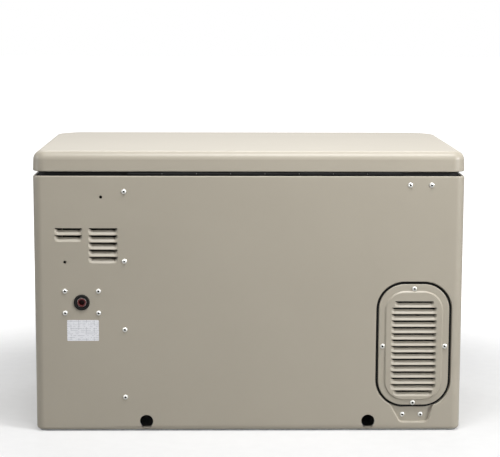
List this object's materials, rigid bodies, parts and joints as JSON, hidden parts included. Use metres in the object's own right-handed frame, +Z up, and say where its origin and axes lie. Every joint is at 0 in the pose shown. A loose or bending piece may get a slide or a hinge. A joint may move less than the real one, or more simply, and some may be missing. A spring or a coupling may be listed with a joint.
{
  "type": "home standby generator",
  "caption": "Weatherproof metal case with a hinged lid and a removable front panel, housing an air-cooled V-twin engine that drives an alternator.",
  "frame": {"origin": "centre of the base's underside, on the ground", "axes": "+Z up, -Y towards the rear face with the gas inlet, +X along the width, to the right as the rear face is looked at"},
  "size_m": [1.221, 0.678, 0.808],
  "materials": {
    "case_coat": "textured powder coat, satin",
    "black_coat": "satin black powder coat",
    "galvanised": "galvanised sheet",
    "zinc": "bright zinc plate",
    "cast_alloy": "as cast",
    "rubber": "matt moulded rubber",
    "black_plastic": "moulded, fine texture",
    "red_plastic": "moulded",
    "yellow_plastic": "moulded",
    "green_plastic": "moulded",
    "label": "printed film with plain rules",
    "aluminised": "aluminised steel",
    "filter_paint": "gloss enamel"
  },
  "bodies": {
    "case": {"rear_panel": "case_coat", "vent_plate": "case_coat", "left_panel": "case_coat", "right_panel": "case_coat", "top_frame": "black_coat", "hinge_fixed_leaf": "black_coat", "rocker_cover_front": "black_coat", "rocker_cover_rear": "black_coat", "blower_housing": "black_coat", "starter_motor": "black_coat", "cradle": "black_coat", "control_box": "black_coat", "base_tray": "galvanised", "left_partition": "galvanised", "right_partition": "galvanised", "vent_screw_top": "zinc", "vent_screw_bottom": "zinc", "vent_screw_left": "zinc", "vent_screw_right": "zinc", "hinge_pin": "zinc", "stay_foot_bracket": "zinc", "fuel_inlet_pipe": "zinc", "fuel_valve": "cast_alloy", "fuel_regulator": "cast_alloy", "engine_crankcase": "cast_alloy", "cylinder_front": "cast_alloy", "cylinder_rear": "cast_alloy", "intake_mixer": "cast_alloy", "alternator_stator": "cast_alloy", "alternator_end_bell": "cast_alloy", "fuel_grommet": "rubber", "fuel_hose": "rubber", "rubber_mount_1": "rubber", "rubber_mount_2": "rubber", "rubber_mount_3": "rubber", "rubber_mount_4": "rubber", "air_cleaner": "black_plastic", "battery": "black_plastic", "control_fascia": "black_plastic", "breaker_body": "black_plastic", "data_label": "label", "muffler": "aluminised", "exhaust_pipe": "aluminised", "oil_filter": "filter_paint"},
    "lid": {"lid": "case_coat", "hinge_moving_leaf": "black_coat", "lid_stay_bracket": "zinc"},
    "stay_cylinder": {"stay_cylinder": "black_coat"},
    "stay_rod": {"stay_rod": "zinc"},
    "front_panel": {"front_panel": "case_coat"},
    "lock_left": {"lock_left": "zinc"},
    "lock_right": {"lock_right": "zinc"},
    "rotor": {"rotor_assembly": "galvanised"},
    "throttle": {"throttle_lever": "zinc"},
    "dipstick": {"dipstick_cap": "yellow_plastic"},
    "fuel_plug": {"fuel_plug": "red_plastic"},
    "button_off": {"button_off": "red_plastic"},
    "button_auto": {"button_auto": "green_plastic"},
    "button_run": {"button_run": "yellow_plastic"},
    "breaker_lever": {"breaker_lever": "black_plastic"}
  },
  "joints": [
    {"name": "lid_hinge", "type": "hinge", "parent": "case", "child": "lid", "pos_m": [0, -0.327, 0.74425], "axis": [1, 0, 0], "range_deg": [0, 60]},
    {"name": "stay_swing", "type": "hinge", "parent": "case", "child": "stay_cylinder", "pos_m": [0.558, -0.19196, 0.53386], "axis": [1, 0, 0], "range_deg": [0, 30]},
    {"name": "stay_extend", "type": "slide", "parent": "stay_cylinder", "child": "stay_rod", "axis": [0, 0.4587, 0.8886], "range_m": [0, 0.18301]},
    {"name": "front_panel_pull", "type": "slide", "parent": "case", "child": "front_panel", "axis": [0, 1, 0], "range_m": [0, 0.25]},
    {"name": "lock_left_turn", "type": "hinge", "parent": "front_panel", "child": "lock_left", "pos_m": [-0.4, 0.33, 0.712], "axis": [0, 1, 0], "range_deg": [-50, 0]},
    {"name": "lock_right_turn", "type": "hinge", "parent": "front_panel", "child": "lock_right", "pos_m": [0.4, 0.33, 0.712], "axis": [0, 1, 0], "range_deg": [-50, 0]},
    {"name": "crank_spin", "type": "hinge", "parent": "case", "child": "rotor", "pos_m": [0, 0, 0.3], "axis": [1, 0, 0], "continuous": true},
    {"name": "throttle_turn", "type": "hinge", "parent": "case", "child": "throttle", "pos_m": [0.082, 0, 0.447], "axis": [1, 0, 0], "range_deg": [-40, 20]},
    {"name": "dipstick_pull", "type": "slide", "parent": "case", "child": "dipstick", "axis": [0, 1, 0], "range_m": [0, 0.06]},
    {"name": "fuel_plug_pull", "type": "slide", "parent": "case", "child": "fuel_plug", "axis": [0, -1, 0], "range_m": [0, 0.08]},
    {"name": "button_off_press", "type": "slide", "parent": "case", "child": "button_off", "axis": [0, 0, -1], "range_m": [0, 0.003], "stiffness_N_per_m": 400},
    {"name": "button_auto_press", "type": "slide", "parent": "case", "child": "button_auto", "axis": [0, 0, -1], "range_m": [0, 0.003], "stiffness_N_per_m": 400},
    {"name": "button_run_press", "type": "slide", "parent": "case", "child": "button_run", "axis": [0, 0, -1], "range_m": [0, 0.003], "stiffness_N_per_m": 400},
    {"name": "breaker_throw", "type": "hinge", "parent": "case", "child": "breaker_lever", "pos_m": [-0.412, 0.2, 0.709], "axis": [1, 0, 0], "range_deg": [-60, 0]}
  ],
  "couplings": [
    {"joint": "stay_swing", "follows": "lid_hinge", "ratio": 0.5},
    {"joint": "stay_extend", "follows": "lid_hinge", "m_per_rad": 0.17476}
  ]
}
